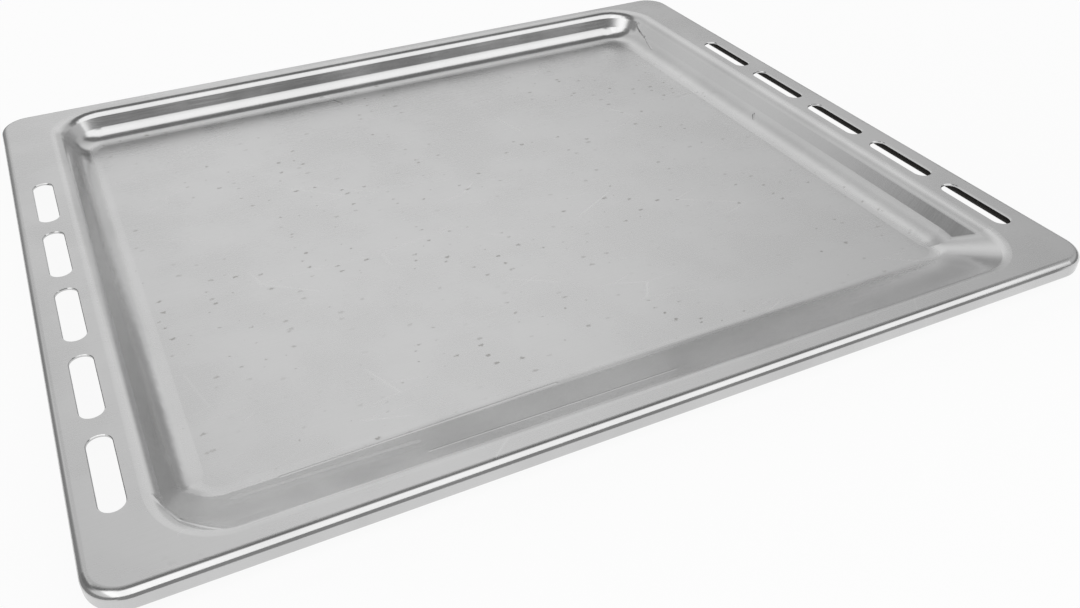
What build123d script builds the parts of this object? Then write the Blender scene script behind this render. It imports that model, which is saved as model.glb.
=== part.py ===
"""Oven baking tray (cookie sheet) pressed from one aluminium sheet, with a wired rim.

All sizes are in millimetres. +Z is up and the tray stands on its floor. The origin is at the
middle of the outer rectangle, on the plane that the tray rests on. +X runs along the long side
and -Y is the front, the side with the low ramp, which faces the oven door.
"""

from build123d import *

import os
from math import radians, sin, tan

# Outer size, over the rolled rim and from the resting plane to the flange's top
tray_width = 445.0
tray_depth = 375.0
tray_height = 16.0
sheet_thickness = 1.0

# Well: insets run from the outer edge to where wall and flange would meet if they were sharp
well_side_inset = 29.0
well_back_inset = 10.6
well_front_inset = 10.9
well_corner_radius = 24.2
wall_angle = 55.0
ramp_angle = 24.0
flange_bend_radius = 8.2
floor_bend_radius = 15.0

# Rolled rim: outer corner, outside of the bend, lip from the flange's top down, and the curl
rim_corner_radius = 15.0
rim_bend_radius = 3.5
lip_depth = 9.2
curl_angle = 270.0
wire_diameter = 1.6
wire_clearance = 0.1
wire_joint_gap = 1.0

# Vent slots through the side flanges, in a row that sits forward of the middle
slot_count = 5
slot_pitch = 52.0
slot_length = 41.0
slot_width = 9.6
slot_inset = 15.1
slot_row_shift = 26.0
slot_edge_bevel = 0.3

# How far a cutting solid runs past the metal that it cuts
overrun = 2.0

# Sizes that follow from those above
flange_underside = tray_height - sheet_thickness
curl_bore_radius = wire_diameter / 2 + wire_clearance
curl_radius = curl_bore_radius + sheet_thickness
curl_height = tray_height - lip_depth + curl_radius
straight_width = tray_width - 2 * rim_corner_radius
straight_depth = tray_depth - 2 * rim_corner_radius


def well_outline(height: float, offset: float) -> Sketch:
    """Rounded rectangle in which the well's four walls cut a level plane.

    The well narrows on its way down, slowly at three walls and fast at the front ramp. The
    offset moves each wall square to itself: zero gives the metal's upper face, and the sheet's
    thickness gives its under face.
    """
    drop = tray_height - height
    wall_step = offset / sin(radians(wall_angle)) - drop / tan(radians(wall_angle))
    ramp_step = offset / sin(radians(ramp_angle)) - drop / tan(radians(ramp_angle))
    half_width = tray_width / 2 - well_side_inset + wall_step
    back = tray_depth / 2 - well_back_inset + wall_step
    front = -(tray_depth / 2 - well_front_inset + ramp_step)
    outline = RectangleRounded(2 * half_width, back - front, well_corner_radius + wall_step)
    return Pos(0, (back + front) / 2, height) * outline


def well_form(floor: float, top: float, offset: float, bend: float) -> Part:
    """Solid that fills the well between two heights, with its floor edge rounded by a bend."""
    form = loft([well_outline(floor, offset), well_outline(top, offset)], ruled=True)
    return fillet(form.edges().group_by(Axis.Z)[0], bend)


def pressed_well() -> Part:
    """Flange, walls and floor, of one thickness throughout, inside the rim's bend."""
    flat_width = tray_width - 2 * rim_bend_radius
    flat_depth = tray_depth - 2 * rim_bend_radius
    flat = RectangleRounded(flat_width, flat_depth, rim_corner_radius - rim_bend_radius)
    plate = extrude(Pos(0, 0, flange_underside) * flat, amount=sheet_thickness)

    hull = well_form(0, flange_underside, sheet_thickness, floor_bend_radius + sheet_thickness)
    body = plate + hull
    flange_under = body.faces().filter_by(Axis.Z).sort_by(Axis.Z)[1]
    under_edges = flange_under.inner_wires()[0].edges()
    body = fillet(under_edges, flange_bend_radius - sheet_thickness)

    body -= well_form(sheet_thickness, tray_height + overrun, 0, floor_bend_radius)
    flange_top = body.faces().sort_by(Axis.Z)[-1]
    return fillet(flange_top.inner_wires()[0].edges(), flange_bend_radius)


def rim_section() -> Sketch:
    """Section of the rim, from the flange round the bend and down the skirt into the curl.

    It lies in the XZ plane, with X measured outwards from a corner's axis.
    """
    bend_centre = (rim_corner_radius - rim_bend_radius, tray_height - rim_bend_radius)
    curl_centre = (rim_corner_radius - curl_radius, curl_height)
    with BuildSketch(Plane.XZ) as section:
        with BuildLine():
            bend_outside = CenterArc(bend_centre, rim_bend_radius, 0, 90)
            bend_inside = CenterArc(bend_centre, rim_bend_radius - sheet_thickness, 0, 90)
            curl_outside = CenterArc(curl_centre, curl_radius, 0, -curl_angle)
            curl_inside = CenterArc(curl_centre, curl_bore_radius, 0, -curl_angle)
            Line(bend_outside @ 0, curl_outside @ 0)
            Line(bend_inside @ 0, curl_inside @ 0)
            Line(bend_outside @ 1, bend_inside @ 1)
            Line(curl_outside @ 1, curl_inside @ 1)
        make_face()
    return section.sketch


def wire_section() -> Sketch:
    """Round section of the wire, in the middle of the curl's bore."""
    with BuildSketch(Plane.XZ) as section:
        with Locations((rim_corner_radius - curl_radius, curl_height)):
            Circle(wire_diameter / 2)
    return section.sketch


def around_rim(section: Sketch) -> Part:
    """Carries a section round the tray: a quarter ring at each corner and a bar at each side."""
    ring = Part()
    for turn, x, y in ((0, 1, 1), (90, -1, 1), (180, -1, -1), (270, 1, -1)):
        place = Pos(x * straight_width / 2, y * straight_depth / 2) * Rot(0, 0, turn)
        run = straight_depth if x == y else straight_width
        ring += place * revolve(section, Axis.Z, 90)
        ring += place * extrude(section, amount=run)
    return ring


def slot_places() -> list:
    """Centres of the slots, the same row at both sides."""
    side = tray_width / 2 - slot_inset
    row = GridLocations(2 * side, slot_pitch, 2, slot_count)
    return [Pos(0, -slot_row_shift, flange_underside) * place for place in row]


def cut_slots(body: Part) -> Part:
    """Punches the slots and bevels their upper edges a little."""
    for place in slot_places():
        slot = SlotOverall(slot_length, slot_width, rotation=90)
        body -= place * Pos(0, 0, -overrun) * extrude(slot, amount=sheet_thickness + 2 * overrun)
    flange_top = body.faces().sort_by(Axis.Z)[-1]
    openings = flange_top.inner_wires().filter_by(lambda wire: wire.length < 3 * slot_length)
    return chamfer(openings.edges(), slot_edge_bevel)


def make_sheet() -> Part:
    """The whole pressing: well, flange, slots and the rim rolled round its wire."""
    return cut_slots(pressed_well() + around_rim(rim_section()))


def make_wire() -> Part:
    """Stiffening wire, one length bent round the tray, with its ends butted at the back."""
    gap = Box(wire_joint_gap, tray_depth, tray_height, align=(Align.CENTER, Align.MIN, Align.MIN))
    return around_rim(wire_section()) - gap


os.makedirs("parts", exist_ok=True)
for name, piece in {"pressed_sheet": make_sheet(), "rim_wire": make_wire()}.items():
    print(name, "solids", len(piece.solids()), "volume", piece.volume)
    export_step(piece, f"parts/{name}.step")
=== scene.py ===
"""Looks, studio and camera for an oven baking tray.

The tray is one pressing of rolled aluminium sheet with a galvanised wire rolled into its rim.
Both pieces are CAD nodes of the frame, which get their finishes here. Every object is in metres,
in the CAD's own axes: +Z is up, the tray stands on the plane Z = 0, and -Y is its front. A name
that ends in _mm holds millimetres, and one that ends in _deg holds degrees.
"""

import logging
import math
from dataclasses import dataclass
from enum import Enum

import bpy
from mathutils import Matrix, Vector


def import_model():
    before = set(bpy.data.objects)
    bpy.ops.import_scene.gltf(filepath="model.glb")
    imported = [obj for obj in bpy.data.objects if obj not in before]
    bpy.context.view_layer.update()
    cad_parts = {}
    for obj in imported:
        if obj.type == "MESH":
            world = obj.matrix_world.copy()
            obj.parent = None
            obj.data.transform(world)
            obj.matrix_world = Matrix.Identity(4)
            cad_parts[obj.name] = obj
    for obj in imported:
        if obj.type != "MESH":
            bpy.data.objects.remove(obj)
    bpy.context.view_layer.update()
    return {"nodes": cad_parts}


log = logging.getLogger("baking_tray")

Tree = bpy.types.NodeTree
Node = bpy.types.Node
Socket = bpy.types.NodeSocket
Value = Socket | Vector | tuple[float, ...] | float
Range = tuple[float, float]

MM = 0.001

# Where nearly all values of a noise texture lie
NOISE_RANGE: Range = (0.3, 0.7)

# Settings of a Map Range node that eases in and out and holds its value at both ends, and of a
# steady one. Input 0 is the value, 1 and 2 are the range that it comes from, and 3 and 4 the
# range that it goes to, which is 0 to 1 where they are left out.
SMOOTH = {"interpolation_type": "SMOOTHSTEP"}
STEADY = {"interpolation_type": "LINEAR"}

# Settings of a Mix node for colours. Input 0 is the share, and 6 and 7 are the colour that it
# starts from and the one that it goes to.
COLOUR_MIX = {"data_type": "RGBA"}


def linear_colour(code: str) -> tuple[float, float, float, float]:
    """Turns an sRGB hex colour to linear light.

    Args:
        code: the colour as "#RRGGBB".

    Returns:
        Red, green, blue and alpha in linear light.
    """
    parts = [int(code[i : i + 2], 16) / 255 for i in (1, 3, 5)]
    red, green, blue = (
        c / 12.92 if c <= 0.04045 else ((c + 0.055) / 1.055) ** 2.4 for c in parts
    )
    return red, green, blue, 1.0


def per_metre(size_mm: float) -> float:
    """Texture scale at which a pattern repeats once in the given number of millimetres."""
    return 1.0 / (size_mm * MM)


def add_node(
    tree: Tree,
    kind: str,
    settings: dict[str, str] | None = None,
    inputs: dict[int | str, Value] | None = None,
) -> Node:
    """Adds a shader node with its settings and links.

    Args:
        tree: the node tree that it joins.
        kind: Blender's name for the type of node.
        settings: its options, by the name of the attribute.
        inputs: the socket or the constant that feeds each input, by its name or number.

    Returns:
        The new node.
    """
    node = tree.nodes.new(kind)
    for key, value in (settings or {}).items():
        setattr(node, key, value)
    for key, value in (inputs or {}).items():
        if isinstance(value, Socket):
            tree.links.new(value, node.inputs[key])
        else:
            node.inputs[key].default_value = value
    return node


def product(tree: Tree, *factors: Socket) -> Socket:
    """Multiplies shares or levels, such as those of layers that have to meet at one place.

    Args:
        tree: the node tree that it joins.
        factors: what is multiplied.

    Returns:
        Their product.
    """
    value = factors[0]
    for factor in factors[1:]:
        value = add_node(
            tree, "ShaderNodeMath", {"operation": "MULTIPLY"}, {0: value, 1: factor}
        ).outputs[0]
    return value


def add_layers(
    tree: Tree, start: Socket | float, layers: tuple[tuple[Socket, float], ...]
) -> Socket:
    """Adds what several layers change to a value.

    Args:
        tree: the node tree that it joins.
        start: the value without them.
        layers: each layer's share, and what it adds where that is 1.

    Returns:
        The value with all of them.
    """
    value = start
    for share, change in layers:
        value = add_node(
            tree, "ShaderNodeMath", {"operation": "MULTIPLY_ADD"}, {0: share, 1: change, 2: value}
        ).outputs[0]
    return value


def new_material(name: str) -> bpy.types.Material:
    """Makes a material with an empty node tree.

    Args:
        name: the material's name.

    Returns:
        The material.
    """
    material = bpy.data.materials.new(name)
    material.use_nodes = True
    material.node_tree.nodes.clear()
    return material


class Stamp(Enum):
    """How a mark changes the sheet that it lies on."""

    DENT = -1.0
    RIDGE = 1.0


@dataclass(frozen=True)
class Mark:
    """One straight scratch, crease or knock in the sheet, seen from above.

    Attributes:
        start_mm: where it begins, X and Y.
        end_mm: where it ends, X and Y.
        width_mm: how wide it is.
        depth_mm: how far the surface is pushed.
        stamp: whether it is pushed down or up.
    """

    start_mm: tuple[float, float]
    end_mm: tuple[float, float]
    width_mm: float
    depth_mm: float
    stamp: Stamp = Stamp.DENT

    def share(self, tree: Tree, level: Socket) -> Socket:
        """Finds how near the surface lies to the mark's middle line.

        Args:
            tree: the node tree that it joins.
            level: the place on the surface, without its height.

        Returns:
            1 along the middle line, and 0 outside the mark's width.
        """
        start = Vector((*self.start_mm, 0.0)) * MM
        along = Vector((*self.end_mm, 0.0)) * MM - start
        way = along.normalized()
        reach = add_node(
            tree, "ShaderNodeVectorMath", {"operation": "SUBTRACT"}, {0: level, 1: start}
        ).outputs[0]
        run = add_node(
            tree, "ShaderNodeVectorMath", {"operation": "DOT_PRODUCT"}, {0: reach, 1: way}
        )
        held = add_node(
            tree,
            "ShaderNodeClamp",
            inputs={"Value": run.outputs["Value"], "Min": 0.0, "Max": along.length},
        )
        nearest = add_node(
            tree,
            "ShaderNodeVectorMath",
            {"operation": "SCALE"},
            {0: way, "Scale": held.outputs[0]},
        )
        gap = add_node(
            tree,
            "ShaderNodeVectorMath",
            {"operation": "DISTANCE"},
            {0: reach, 1: nearest.outputs[0]},
        )
        return add_node(
            tree,
            "ShaderNodeMapRange",
            SMOOTH,
            {0: gap.outputs["Value"], 1: 0.0, 2: self.width_mm * MM / 2, 3: 1.0, 4: 0.0},
        ).outputs[0]


@dataclass(frozen=True)
class Clouds:
    """Soft random noise: about how large one cloud is, and how many finer layers it has."""

    size_mm: float
    detail: float


@dataclass(frozen=True)
class MillAluminium:
    """Rolled aluminium sheet in its mill finish, drawn in a press and used for some years.

    The rolls leave a fine grain along the sheet, and the alloy a dull light grey. Baking and
    washing pit the floor and dull it, while the press burnishes the walls and the bends, so
    these reflect more sharply than the flats do. Inside the rim is painted shade, nearly black.
    """

    name: str = "mill_finish_aluminium"

    # The bare alloy is a pale neutral grey, the film in a pit darker, and the painted shade inside
    # the rim near black
    colour: str = "#C9C9C9"
    pit_colour: str = "#AEADAB"
    painted_shade_colour: str = "#1D1A17"

    # Flats blur what they reflect, burnished walls show it, and side walls lie in between.
    # The size of the normal's Z tells a flat, and that of its X a side wall.
    flat_roughness: float = 0.29
    burnished_roughness: float = 0.165
    side_dulling: float = 0.06
    flat_slope: Range = (0.90, 0.995)
    side_slope: Range = (0.3, 0.75)

    # Grain of the rolling, drawn coarser than the real one, which is too fine to show
    grain_width_mm: float = 0.45
    grain_length_mm: float = 30.0
    grain_depth_mm: float = 0.0005
    grain_detail: float = 3.0
    grain_harshness: float = 0.6
    grain_tone: float = 0.015
    grain_dulling: float = 0.02

    # Slow cloudiness of the oxide, and the sheet's shallow waves, which bend its reflections
    mottle: Clouds = Clouds(38.0, 4.0)
    mottle_tone: float = 0.035
    mottle_dulling: float = 0.02
    warp: Clouds = Clouds(70.0, 0.5)
    warp_depth_mm: float = 0.09

    # Corrosion pits: dull ragged specks, drawn out along the grain, in loose patches on the
    # floor and few elsewhere. Each cell has a random number. Up to pit_chance it has no pit,
    # and from there to 1 the radius grows from pit_least to pit_radius_mm. pit_least, pit_rag
    # and pit_edge are shares of the spacing.
    pit_spacing_mm: float = 7.5
    pit_radius_mm: float = 0.95
    pit_depth_mm: float = 0.026
    pit_dulling: float = 0.15
    pit_stretch: float = 0.62
    pit_chance: float = 0.15
    pit_least: float = -0.02
    pit_rag: float = 0.24
    pit_edge: Range = (0.06, 0.14)
    pit_rags: Clouds = Clouds(1.1, 2.0)
    pit_patches: Clouds = Clouds(60.0, 1.0)
    pit_patch_edge: Range = (0.42, 0.60)
    pit_floor_mm: Range = (2.0, 3.5)
    pit_elsewhere: float = 0.12

    # Hairline scuffs from scouring: sharp thin lines that cross in patches, two ways in all
    scuff_spacing_mm: float = 26.0
    scuff_width_mm: float = 0.25
    scuff_depth_mm: float = 0.008
    scuff_gloss: float = 0.08
    scuff_stretch: float = 0.22
    scuff_turns_deg: tuple[float, float] = (24.0, -52.0)
    scuff_shifts_mm: tuple[float, float] = (0.0, 400.0)
    scuff_patches: Clouds = Clouds(45.0, 2.0)
    scuff_patch_edge: Range = (0.50, 0.62)

    # Painted shade: a rough, nearly black colour that is not metal, standing for the flange's
    # shadow on what faces inwards behind the rim's skirt, which stands at these half sizes in X
    # and Y
    rim_inside_mm: tuple[float, float] = (216.5, 181.5)
    rim_reach_mm: float = 0.6
    rim_facing: Range = (-0.45, -0.15)
    painted_shade_roughness: float = 0.62

    # Scratches on the floor, creases and knocks on the right wall, and streaks on the ramp
    marks: tuple[Mark, ...] = (
        Mark((161.0, 64.0), (170.6, 66.2), 0.7, 0.05),
        Mark((170.6, 66.2), (178.0, 64.0), 0.6, 0.05),
        Mark((189.6, 158.0), (187.6, 144.0), 1.6, 0.25, Stamp.RIDGE),
        Mark((187.6, 144.0), (184.4, 129.5), 1.3, 0.20, Stamp.RIDGE),
        Mark((183.2, 14.0), (185.2, 17.0), 1.8, 0.30),
        Mark((-98.0, -166.7), (9.0, -167.6), 1.6, 0.15, Stamp.RIDGE),
        Mark((-150.0, -146.0), (-33.0, -143.4), 2.0, 0.13, Stamp.RIDGE),
        Mark((-194.0, -148.0), (-187.5, -162.0), 2.4, 0.15, Stamp.RIDGE),
        Mark((-187.5, -162.0), (-176.0, -173.0), 2.4, 0.15, Stamp.RIDGE),
        Mark((-168.0, -153.0), (-100.0, -157.0), 9.0, 0.12),
    )

    def faces(self, tree: Tree, normal: Socket) -> tuple[Socket, Socket]:
        """Tells the flats and the side walls from the way that the surface faces.

        Args:
            tree: the node tree that it joins.
            normal: which way the surface faces.

        Returns:
            How far it lies flat, and how far it faces sideways, each from 0 to 1.
        """
        parts = add_node(tree, "ShaderNodeSeparateXYZ", inputs={0: normal}).outputs
        shares = []
        for axis, slope in (("Z", self.flat_slope), ("X", self.side_slope)):
            size = add_node(tree, "ShaderNodeMath", {"operation": "ABSOLUTE"}, {0: parts[axis]})
            share = add_node(
                tree, "ShaderNodeMapRange", SMOOTH, {0: size.outputs[0], 1: slope[0], 2: slope[1]}
            )
            shares.append(share.outputs[0])
        return shares[0], shares[1]

    def grain(self, tree: Tree, place: Socket) -> Socket:
        """Draws the fine lines that the rolls leave along the sheet's length.

        Args:
            tree: the node tree that it joins.
            place: the place on the surface.

        Returns:
            The lines' noise.
        """
        stretch = (per_metre(self.grain_length_mm), per_metre(self.grain_width_mm), 1.0)
        drawn_out = add_node(
            tree, "ShaderNodeVectorMath", {"operation": "MULTIPLY"}, {0: place, 1: stretch}
        )
        return add_node(
            tree,
            "ShaderNodeTexNoise",
            {"noise_dimensions": "2D"},
            {
                "Vector": drawn_out.outputs[0],
                "Scale": 1.0,
                "Detail": self.grain_detail,
                "Roughness": self.grain_harshness,
            },
        ).outputs["Fac"]

    def pits(
        self, tree: Tree, place: Socket, flats: Socket, rags: Socket, patches: Socket
    ) -> Socket:
        """Scatters corrosion pits over the floor.

        Args:
            tree: the node tree that it joins.
            place: the place on the surface.
            flats: where the sheet is flat.
            rags: the noise that makes their edges ragged.
            patches: the noise that gathers them in patches.

        Returns:
            1 in a pit, and 0 on sound metal.
        """
        drawn_out = add_node(
            tree,
            "ShaderNodeVectorMath",
            {"operation": "MULTIPLY"},
            {0: place, 1: (self.pit_stretch, 1.0, 1.0)},
        )
        cells = add_node(
            tree,
            "ShaderNodeTexVoronoi",
            {"voronoi_dimensions": "2D"},
            {
                "Vector": drawn_out.outputs[0],
                "Scale": per_metre(self.pit_spacing_mm),
                "Randomness": 1.0,
            },
        )
        chance = add_node(tree, "ShaderNodeSeparateColor", inputs={0: cells.outputs["Color"]})
        largest = self.pit_radius_mm / self.pit_spacing_mm
        radius = add_node(
            tree,
            "ShaderNodeMapRange",
            STEADY,
            {0: chance.outputs[0], 1: self.pit_chance, 2: 1.0, 3: self.pit_least, 4: largest},
        )
        past_edge = add_layers(
            tree, cells.outputs["Distance"], ((radius.outputs[0], -1.0), (rags, self.pit_rag))
        )
        inside = add_node(
            tree,
            "ShaderNodeMapRange",
            SMOOTH,
            {0: past_edge, 1: self.pit_edge[0], 2: self.pit_edge[1], 3: 1.0, 4: 0.0},
        )
        patch = add_node(
            tree,
            "ShaderNodeMapRange",
            SMOOTH,
            {
                0: patches,
                1: self.pit_patch_edge[0],
                2: self.pit_patch_edge[1],
                3: self.pit_elsewhere,
                4: 1.0,
            },
        )
        height = add_node(tree, "ShaderNodeSeparateXYZ", inputs={0: place}).outputs["Z"]
        on_floor = add_node(
            tree,
            "ShaderNodeMapRange",
            SMOOTH,
            {
                0: height,
                1: self.pit_floor_mm[0] * MM,
                2: self.pit_floor_mm[1] * MM,
                3: 1.0,
                4: self.pit_elsewhere,
            },
        )
        return product(tree, inside.outputs[0], patch.outputs[0], on_floor.outputs[0], flats)

    def scuffs(self, tree: Tree, place: Socket, flats: Socket, patches: Socket) -> Socket:
        """Draws the hairlines that scouring leaves.

        Args:
            tree: the node tree that it joins.
            place: the place on the surface.
            flats: where the sheet is flat.
            patches: the noise that gathers them in patches.

        Returns:
            1 in a hairline, and 0 beside it.
        """
        lines = []
        for turn_deg, shift_mm in zip(self.scuff_turns_deg, self.scuff_shifts_mm):
            turned = add_node(
                tree,
                "ShaderNodeMapping",
                inputs={
                    "Vector": place,
                    "Location": (shift_mm * MM, 0.0, 0.0),
                    "Rotation": (0.0, 0.0, math.radians(turn_deg)),
                    "Scale": (self.scuff_stretch, 1.0, 1.0),
                },
            )
            cells = add_node(
                tree,
                "ShaderNodeTexVoronoi",
                {"voronoi_dimensions": "2D", "feature": "DISTANCE_TO_EDGE"},
                {
                    "Vector": turned.outputs[0],
                    "Scale": per_metre(self.scuff_spacing_mm),
                    "Randomness": 1.0,
                },
            )
            width = self.scuff_width_mm / self.scuff_spacing_mm
            line = add_node(
                tree,
                "ShaderNodeMapRange",
                SMOOTH,
                {0: cells.outputs["Distance"], 1: 0.0, 2: width, 3: 1.0, 4: 0.0},
            )
            lines.append(line.outputs[0])
        either = add_node(
            tree, "ShaderNodeMath", {"operation": "MAXIMUM"}, {0: lines[0], 1: lines[1]}
        )
        patch = add_node(
            tree,
            "ShaderNodeMapRange",
            SMOOTH,
            {0: patches, 1: self.scuff_patch_edge[0], 2: self.scuff_patch_edge[1]},
        )
        return product(tree, either.outputs[0], patch.outputs[0], flats)

    def rim_painted_shade(self, tree: Tree, place: Socket, normal: Socket) -> Socket:
        """Finds where the rim's shade is painted: on what faces inwards behind the rim's skirt.

        Args:
            tree: the node tree that it joins.
            place: the place on the surface.
            normal: which way the surface faces.

        Returns:
            1 where the shade is painted, and 0 on clean metal.
        """
        sizes = add_node(tree, "ShaderNodeVectorMath", {"operation": "ABSOLUTE"}, {0: place})
        sides = add_node(tree, "ShaderNodeSeparateXYZ", inputs={0: sizes.outputs[0]}).outputs
        half_width, half_depth = (length * MM for length in self.rim_inside_mm)
        past = []
        for side, inside in ((sides["X"], half_width), (sides["Y"], half_depth)):
            gap = add_node(tree, "ShaderNodeMath", {"operation": "SUBTRACT"}, {0: side, 1: inside})
            past.append(gap.outputs[0])
        furthest = add_node(
            tree, "ShaderNodeMath", {"operation": "MAXIMUM"}, {0: past[0], 1: past[1]}
        )
        behind = add_node(
            tree,
            "ShaderNodeMapRange",
            SMOOTH,
            {0: furthest.outputs[0], 1: 0.0, 2: self.rim_reach_mm * MM},
        )
        outwards = add_node(
            tree,
            "ShaderNodeVectorMath",
            {"operation": "MULTIPLY"},
            {0: place, 1: (1 / half_width, 1 / half_depth, 0.0)},
        )
        turned = add_node(
            tree,
            "ShaderNodeVectorMath",
            {"operation": "DOT_PRODUCT"},
            {0: outwards.outputs[0], 1: normal},
        )
        inwards = add_node(
            tree,
            "ShaderNodeMapRange",
            SMOOTH,
            {
                0: turned.outputs["Value"],
                1: self.rim_facing[0],
                2: self.rim_facing[1],
                3: 1.0,
                4: 0.0,
            },
        )
        return product(tree, behind.outputs[0], inwards.outputs[0])

    def material(self) -> bpy.types.Material:
        """Builds the node material.

        Returns:
            The material.
        """
        material = new_material(self.name)
        tree = material.node_tree
        coordinates = add_node(tree, "ShaderNodeTexCoord").outputs
        place, normal = coordinates["Object"], coordinates["Normal"]
        mottle, warp, rags, pit_patches, scuff_patches = (
            add_node(
                tree,
                "ShaderNodeTexNoise",
                {"noise_dimensions": "2D"},
                {"Vector": place, "Scale": per_metre(noise.size_mm), "Detail": noise.detail},
            ).outputs["Fac"]
            for noise in (
                self.mottle,
                self.warp,
                self.pit_rags,
                self.pit_patches,
                self.scuff_patches,
            )
        )
        flats, side_walls = self.faces(tree, normal)
        grain = self.grain(tree, place)
        pits = self.pits(tree, place, flats, rags, pit_patches)
        scuffs = self.scuffs(tree, place, flats, scuff_patches)
        # Painted shade, standing for the flange's shadow on the rim's inward faces
        rim_shade = self.rim_painted_shade(tree, place, normal)
        even_grain, even_mottle = (
            add_node(
                tree,
                "ShaderNodeMapRange",
                SMOOTH,
                {0: noise, 1: NOISE_RANGE[0], 2: NOISE_RANGE[1], 3: -1.0, 4: 1.0},
            ).outputs[0]
            for noise in (grain, mottle)
        )

        tone = add_layers(
            tree, 1.0, ((even_mottle, self.mottle_tone), (even_grain, self.grain_tone))
        )
        colour = add_node(
            tree,
            "ShaderNodeVectorMath",
            {"operation": "SCALE"},
            {0: linear_colour(self.colour)[:3], "Scale": tone},
        ).outputs[0]
        # Pits get a darker film of their own, and the rim's inside gets its painted shade, nearly
        # black
        for share, over in ((pits, self.pit_colour), (rim_shade, self.painted_shade_colour)):
            colour = add_node(
                tree,
                "ShaderNodeMix",
                COLOUR_MIX,
                {0: share, 6: colour, 7: linear_colour(over)},
            ).outputs[2]

        sharpness = add_node(
            tree,
            "ShaderNodeMapRange",
            SMOOTH,
            {0: flats, 3: self.burnished_roughness, 4: self.flat_roughness},
        )
        roughness = add_layers(
            tree,
            sharpness.outputs[0],
            (
                (side_walls, self.side_dulling),
                (even_grain, self.grain_dulling),
                (even_mottle, self.mottle_dulling),
                (pits, self.pit_dulling),
                (scuffs, -self.scuff_gloss),
                (rim_shade, self.painted_shade_roughness),
            ),
        )

        level = add_node(
            tree,
            "ShaderNodeVectorMath",
            {"operation": "MULTIPLY"},
            {0: place, 1: (1.0, 1.0, 0.0)},
        )
        marks = tuple(
            (mark.share(tree, level.outputs[0]), mark.stamp.value * mark.depth_mm)
            for mark in self.marks
        )
        height_mm = add_layers(
            tree,
            0.0,
            (
                (warp, self.warp_depth_mm),
                (grain, self.grain_depth_mm),
                (pits, -self.pit_depth_mm),
                (scuffs, -self.scuff_depth_mm),
                *marks,
            ),
        )
        bump = add_node(
            tree, "ShaderNodeBump", inputs={"Strength": 1.0, "Distance": MM, "Height": height_mm}
        )
        # The painted shade inside the rim is not metal, so it stays dark in every reflection
        metal = add_node(tree, "ShaderNodeMath", {"operation": "SUBTRACT"}, {0: 1.0, 1: rim_shade})
        shader = add_node(
            tree,
            "ShaderNodeBsdfPrincipled",
            inputs={
                "Base Color": colour,
                "Metallic": metal.outputs[0],
                "Roughness": roughness,
                "Normal": bump.outputs["Normal"],
            },
        )
        add_node(tree, "ShaderNodeOutputMaterial", inputs={"Surface": shader.outputs["BSDF"]})
        return material


@dataclass(frozen=True)
class ZincWire:
    """Galvanised steel wire, drawn to size and dipped in molten zinc.

    The zinc freezes in small flat crystals. They show as a spangle of paler and darker bluish
    grey, some duller than others, on a coat that is a little uneven.
    """

    name: str = "galvanised_steel_wire"
    pale_colour: str = "#B4B8BC"
    dark_colour: str = "#8D9297"
    spangle_mm: float = 1.4
    roughness: Range = (0.34, 0.52)
    coat: Clouds = Clouds(0.8, 2.0)
    coat_depth_mm: float = 0.02

    def material(self) -> bpy.types.Material:
        """Builds the node material.

        Returns:
            The material.
        """
        material = new_material(self.name)
        tree = material.node_tree
        place = add_node(tree, "ShaderNodeTexCoord").outputs["Object"]
        crystals = add_node(
            tree,
            "ShaderNodeTexVoronoi",
            inputs={"Vector": place, "Scale": per_metre(self.spangle_mm)},
        )
        chance = add_node(
            tree, "ShaderNodeSeparateColor", inputs={0: crystals.outputs["Color"]}
        ).outputs
        colour = add_node(
            tree,
            "ShaderNodeMix",
            COLOUR_MIX,
            {
                0: chance["Red"],
                6: linear_colour(self.pale_colour),
                7: linear_colour(self.dark_colour),
            },
        )
        sharpness = add_node(
            tree,
            "ShaderNodeMapRange",
            SMOOTH,
            {0: chance["Green"], 3: self.roughness[0], 4: self.roughness[1]},
        )
        coat = add_node(
            tree,
            "ShaderNodeTexNoise",
            inputs={
                "Vector": place,
                "Scale": per_metre(self.coat.size_mm),
                "Detail": self.coat.detail,
            },
        )
        bump = add_node(
            tree,
            "ShaderNodeBump",
            inputs={
                "Strength": 1.0,
                "Distance": self.coat_depth_mm * MM,
                "Height": coat.outputs["Fac"],
            },
        )
        shader = add_node(
            tree,
            "ShaderNodeBsdfPrincipled",
            inputs={
                "Metallic": 1.0,
                "Base Color": colour.outputs[2],
                "Roughness": sharpness.outputs[0],
                "Normal": bump.outputs["Normal"],
            },
        )
        add_node(tree, "ShaderNodeOutputMaterial", inputs={"Surface": shader.outputs["BSDF"]})
        return material


@dataclass
class FramePiece:
    """A piece that is a CAD node of the frame and gets its finish here."""

    node: str
    finish: MillAluminium | ZincWire

    def dress(self, nodes: dict[str, bpy.types.Object]) -> bpy.types.Object:
        """Gives the CAD node its finish.

        Args:
            nodes: the frame's nodes by name.

        Returns:
            The dressed object.
        """
        piece = nodes[self.node]
        piece.data.materials.clear()
        piece.data.materials.append(self.finish.material())
        return piece


@dataclass
class PressedSheet(FramePiece):
    """The pressing: floor, walls, ramp, slotted flange and rolled rim, all one sheet."""

    node: str = "pressed_sheet"
    finish: MillAluminium = MillAluminium()


@dataclass
class RimWire(FramePiece):
    """The stiffening wire inside the rim's curl."""

    node: str = "rim_wire"
    finish: ZincWire = ZincWire()


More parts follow.
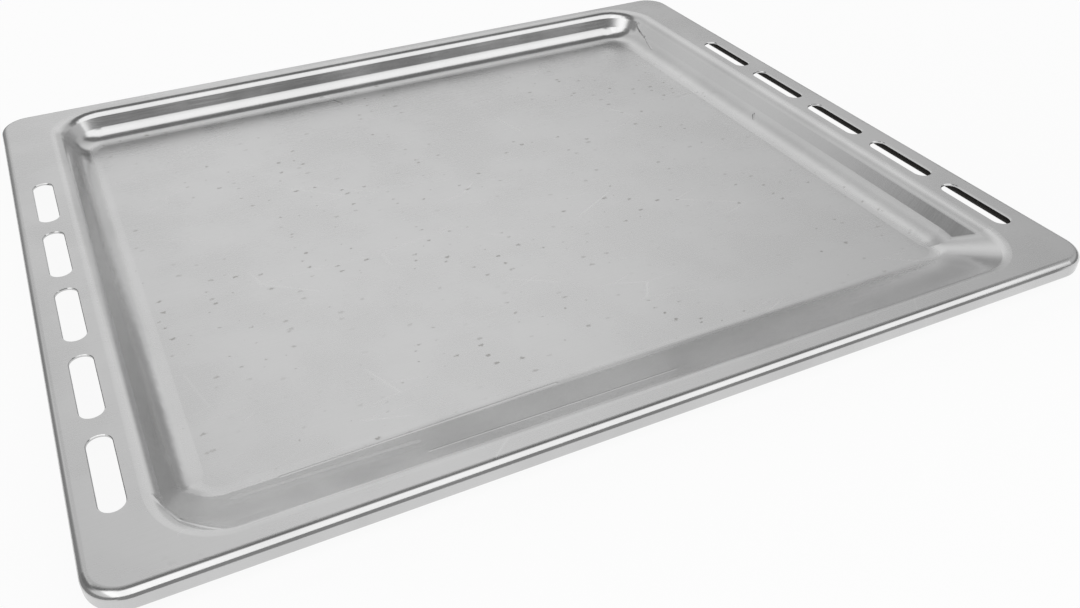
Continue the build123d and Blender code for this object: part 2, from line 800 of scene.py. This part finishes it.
@dataclass(frozen=True)
class Card:
    """A large flat softbox or grey card that faces the tray from outside the picture.

    Attributes:
        name: its name.
        heading_deg: the way to it from the tray, from +Y towards +X.
        height_deg: its middle's elevation above the horizon, seen from the tray.
        spread_deg: how much of the view it fills sideways and upwards, seen from the tray.
        level: how bright it is, where 1 is white.
        distance: how far off its middle is, in metres.
        fade: share of its width and of its height over which each edge thins out.
        shades: whether it keeps the lamp's light off what lies behind it.
        slide: how far it is moved along +X, in metres.
    """

    name: str
    heading_deg: float
    height_deg: float
    spread_deg: tuple[float, float]
    level: float
    distance: float = 3.0
    fade: tuple[float, float] = (0.02, 0.02)
    shades: bool = True
    slide: float = 0.0

    def place(self) -> Matrix:
        """Works out where it hangs, turned to face the tray with its width level.

        Returns:
            Its place and turn.
        """
        heading, height = math.radians(self.heading_deg), math.radians(self.height_deg)
        flat = math.cos(height)
        way = Vector((math.sin(heading) * flat, math.cos(heading) * flat, math.sin(height)))
        level = Vector((math.cos(heading), -math.sin(heading), 0.0))
        turn = Matrix((level, way.cross(level), way)).transposed()
        middle = way * self.distance + Vector((self.slide, 0.0, 0.0))
        return Matrix.Translation(middle) @ turn.to_4x4()

    def size(self) -> tuple[float, float]:
        """Its width and its height, in metres."""
        wide, high = (2 * self.distance * math.tan(math.radians(a) / 2) for a in self.spread_deg)
        return wide, high

    def stand(self) -> bpy.types.Object:
        """Stands it up as a grey card, which the metal reflects as a dark band.

        It is board with matt paint on it, so what it gives the metal to mirror is an even grey,
        which thins out towards the card's edges.

        Returns:
            The card's object, which the camera doesn't see.
        """
        bpy.ops.object.select_all(action="DESELECT")
        bpy.ops.mesh.primitive_plane_add(size=1.0, location=(0, 0, 0))
        piece = bpy.context.object
        piece.name = self.name
        wide, high = self.size()
        piece.data.transform(self.place() @ Matrix.Diagonal((wide, high, 1.0, 1.0)))
        material = new_material(self.name)
        tree = material.node_tree
        grey = add_node(tree, "ShaderNodeEmission", inputs={"Strength": self.level})
        clear = add_node(tree, "ShaderNodeBsdfTransparent")
        place = add_node(tree, "ShaderNodeTexCoord").outputs["UV"]
        off_middle = add_node(
            tree, "ShaderNodeVectorMath", {"operation": "SUBTRACT"}, {0: place, 1: (0.5, 0.5, 0.0)}
        )
        reach = add_node(
            tree, "ShaderNodeVectorMath", {"operation": "ABSOLUTE"}, {0: off_middle.outputs[0]}
        )
        sides = add_node(tree, "ShaderNodeSeparateXYZ", inputs={0: reach.outputs[0]}).outputs
        shares = [
            add_node(
                tree,
                "ShaderNodeMapRange",
                SMOOTH,
                {0: side, 1: 0.5 - fade, 2: 0.5, 3: 1.0, 4: 0.0},
            ).outputs[0]
            for side, fade in zip((sides["X"], sides["Y"]), self.fade)
        ]
        faded = add_node(
            tree,
            "ShaderNodeMixShader",
            inputs={0: product(tree, *shares), 1: clear.outputs[0], 2: grey.outputs[0]},
        )
        add_node(tree, "ShaderNodeOutputMaterial", inputs={"Surface": faded.outputs[0]})
        piece.data.materials.append(material)
        piece.visible_camera = False
        piece.visible_shadow = piece.visible_diffuse = self.shades
        return piece


@dataclass
class Studio:
    """White table, pale room, a softbox, grey cards and the camera.

    The camera doesn't see the cards. They give the polished walls and bends the dark bands that
    a room gives them, and they stand where the photograph's reflections have such bands.
    """

    # The table's size in metres, its colour, how much of what is seen of it is plain white,
    # and how far it lies under the tray's floor
    table_size: float = 8.0
    table_colour: str = "#E4E4E4"
    table_glow: float = 0.92
    table_drop_mm: float = 0.05

    # The room is pale ahead, darker past a corner between two headings on its right, and shaded
    # on its left, but less so further round. The left's reaches are parts of the view along X.
    room_colour: str = "#FFFFFF"
    room_level: float = 1.02
    right_level: float = 0.66
    right_deg: Range = (30.0, 60.0)
    left_share: float = 0.72
    left_reach: Range = (-0.30, 0.20)
    far_left_share: float = 1.2
    far_left_reach: Range = (-0.55, -0.30)

    softbox: Card = Card("softbox", 180.0, 51.0, (98.0, 72.0), 0.80)
    grey_cards: tuple[Card, ...] = (
        Card("dark_boom", 180.0, 62.5, (98.0, 30.0), 0.21, 0.41, (0.08, 0.38), slide=0.10),
        Card("ceiling_card", 0.0, 78.0, (100.0, 28.0), 0.20, 3.0, (0.02, 0.15)),
        Card("front_card", 180.0, 7.5, (120.0, 15.0), 0.30, 2.6),
        Card("front_strip", 180.0, 2.2, (96.0, 4.4), 0.34, 0.21, shades=False),
        Card("back_strip", 0.0, 2.6, (98.0, 5.2), 0.35, 0.212, shades=False),
        Card("left_strip", -90.0, 2.2, (110.0, 4.4), 0.30, 0.245, shades=False),
        Card("back_card", 20.0, 11.0, (30.0, 38.0), 0.75, 3.0, (0.35, 0.28)),
        Card("back_right_card", 50.0, 10.0, (52.0, 36.0), 0.42, 2.9, (0.10, 0.40)),
        Card("back_left_card", -42.0, 6.0, (56.0, 34.0), 0.37, 2.8, (0.15, 0.40)),
        Card("left_card", -68.0, 22.0, (50.0, 44.0), 0.22, 2.7, (0.26, 0.25)),
        Card("right_card", 98.0, 8.0, (60.0, 30.0), 0.30, 2.7, (0.20, 0.30)),
    )

    # The camera's place, turn and lens, fitted to the photograph. The lens and the sensor are in
    # millimetres, the shift is a share of the sensor, and the clip distances are in metres.
    camera_place_mm: tuple[float, float, float] = (-186.33, -421.52, 277.50)
    camera_heading_deg: float = -24.813
    camera_tilt_deg: float = 53.421
    camera_roll_deg: float = -0.875
    camera_lens: float = 33.851
    camera_sensor: float = 36.0
    camera_shift: float = 0.0367
    camera_clip: Range = (0.01, 50.0)

    def build_table(self) -> bpy.types.Object:
        """Lays the white table top, much larger than the tray.

        It is laminate pressed with a matt sheet, which scatters light evenly and mirrors nothing.
        What the camera and the metal see of it is lifted towards white, and it keeps a light
        shadow of the tray. It lies a hair under the tray's floor, so that the two faces stay
        apart, and it is clear from below, so that the tray's under side can be looked at.

        Returns:
            The table's object.
        """
        bpy.ops.object.select_all(action="DESELECT")
        bpy.ops.mesh.primitive_plane_add(size=self.table_size, location=(0, 0, 0))
        table = bpy.context.object
        table.name = "white_table"
        table.data.transform(Matrix.Translation((0.0, 0.0, -self.table_drop_mm * MM)))
        material = new_material("matt_white_laminate")
        tree = material.node_tree
        matt = add_node(
            tree, "ShaderNodeBsdfDiffuse", inputs={"Color": linear_colour(self.table_colour)}
        )
        glow = add_node(tree, "ShaderNodeEmission", inputs={"Strength": 1.0})
        rays = add_node(tree, "ShaderNodeLightPath").outputs
        seen = rays["Is Camera Ray"]
        for kind in ("Is Glossy Ray", "Is Transmission Ray"):
            seen = add_node(
                tree, "ShaderNodeMath", {"operation": "MAXIMUM"}, {0: seen, 1: rays[kind]}
            ).outputs[0]
        share = add_node(
            tree, "ShaderNodeMath", {"operation": "MULTIPLY"}, {0: seen, 1: self.table_glow}
        )
        top = add_node(
            tree,
            "ShaderNodeMixShader",
            inputs={0: share.outputs[0], 1: matt.outputs[0], 2: glow.outputs[0]},
        )
        under_side = add_node(tree, "ShaderNodeNewGeometry").outputs["Backfacing"]
        clear = add_node(tree, "ShaderNodeBsdfTransparent")
        one_sided = add_node(
            tree,
            "ShaderNodeMixShader",
            inputs={0: under_side, 1: top.outputs[0], 2: clear.outputs[0]},
        )
        add_node(tree, "ShaderNodeOutputMaterial", inputs={"Surface": one_sided.outputs[0]})
        table.data.materials.append(material)
        return table

    def build_room(self) -> None:
        """Fills the world with a pale room, which lights the tray and is mirrored in it."""
        world = bpy.data.worlds.new("pale_room")
        world.use_nodes = True
        tree = world.node_tree
        tree.nodes.clear()
        view = add_node(tree, "ShaderNodeTexCoord").outputs["Generated"]
        way = add_node(tree, "ShaderNodeSeparateXYZ", inputs={0: view}).outputs
        heading = add_node(
            tree, "ShaderNodeMath", {"operation": "ARCTAN2"}, {0: way["X"], 1: way["Y"]}
        )
        wall = add_node(
            tree,
            "ShaderNodeMapRange",
            STEADY,
            {
                0: heading.outputs[0],
                1: math.radians(self.right_deg[0]),
                2: math.radians(self.right_deg[1]),
                3: self.room_level,
                4: self.right_level,
            },
        )
        shades = [
            add_node(
                tree,
                "ShaderNodeMapRange",
                SMOOTH,
                {0: way["X"], 1: reach[0], 2: reach[1], 3: share, 4: 1.0},
            ).outputs[0]
            for reach, share in (
                (self.left_reach, self.left_share),
                (self.far_left_reach, self.far_left_share),
            )
        ]
        light = add_node(
            tree,
            "ShaderNodeBackground",
            inputs={
                "Color": linear_colour(self.room_colour),
                "Strength": product(tree, wall.outputs[0], *shades),
            },
        )
        add_node(tree, "ShaderNodeOutputWorld", inputs={"Surface": light.outputs["Background"]})
        bpy.context.scene.world = world

    def hang_softbox(self) -> None:
        """Hangs the softbox above the front of the table."""
        card = self.softbox
        lamp = bpy.data.lights.new(card.name, "AREA")
        lamp.shape = "RECTANGLE"
        lamp.size, lamp.size_y = card.size()
        lamp.energy = card.level * math.pi * lamp.size * lamp.size_y
        piece = bpy.data.objects.new(card.name, lamp)
        bpy.context.scene.collection.objects.link(piece)
        piece.matrix_world = card.place()
        piece.visible_camera = False

    def build_camera(self) -> None:
        """Sets the camera where the photograph was taken from."""
        data = bpy.data.cameras.new("camera")
        data.sensor_width = self.camera_sensor
        data.lens = self.camera_lens
        data.shift_x = self.camera_shift
        data.clip_start, data.clip_end = self.camera_clip
        camera = bpy.data.objects.new("camera", data)
        bpy.context.scene.collection.objects.link(camera)
        turn = (
            Matrix.Rotation(math.radians(self.camera_heading_deg), 4, "Z")
            @ Matrix.Rotation(math.radians(self.camera_tilt_deg), 4, "X")
            @ Matrix.Rotation(math.radians(self.camera_roll_deg), 4, "Z")
        )
        camera.matrix_world = Matrix.Translation(Vector(self.camera_place_mm) * MM) @ turn
        bpy.context.scene.camera = camera


def main() -> None:
    """Loads the frame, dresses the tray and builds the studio."""
    logging.basicConfig(level=logging.INFO, format="%(name)s: %(message)s")
    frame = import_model()
    for part in (PressedSheet(), RimWire()):
        piece = part.dress(frame["nodes"])
        log.info("dressed %s", piece.name)
    studio = Studio()
    log.info("laid %s", studio.build_table().name)
    studio.build_room()
    studio.hang_softbox()
    for card in studio.grey_cards:
        log.info("stood %s", card.stand().name)
    studio.build_camera()
    bpy.context.scene.view_settings.view_transform = "Standard"


if __name__ == "__main__":
    main()
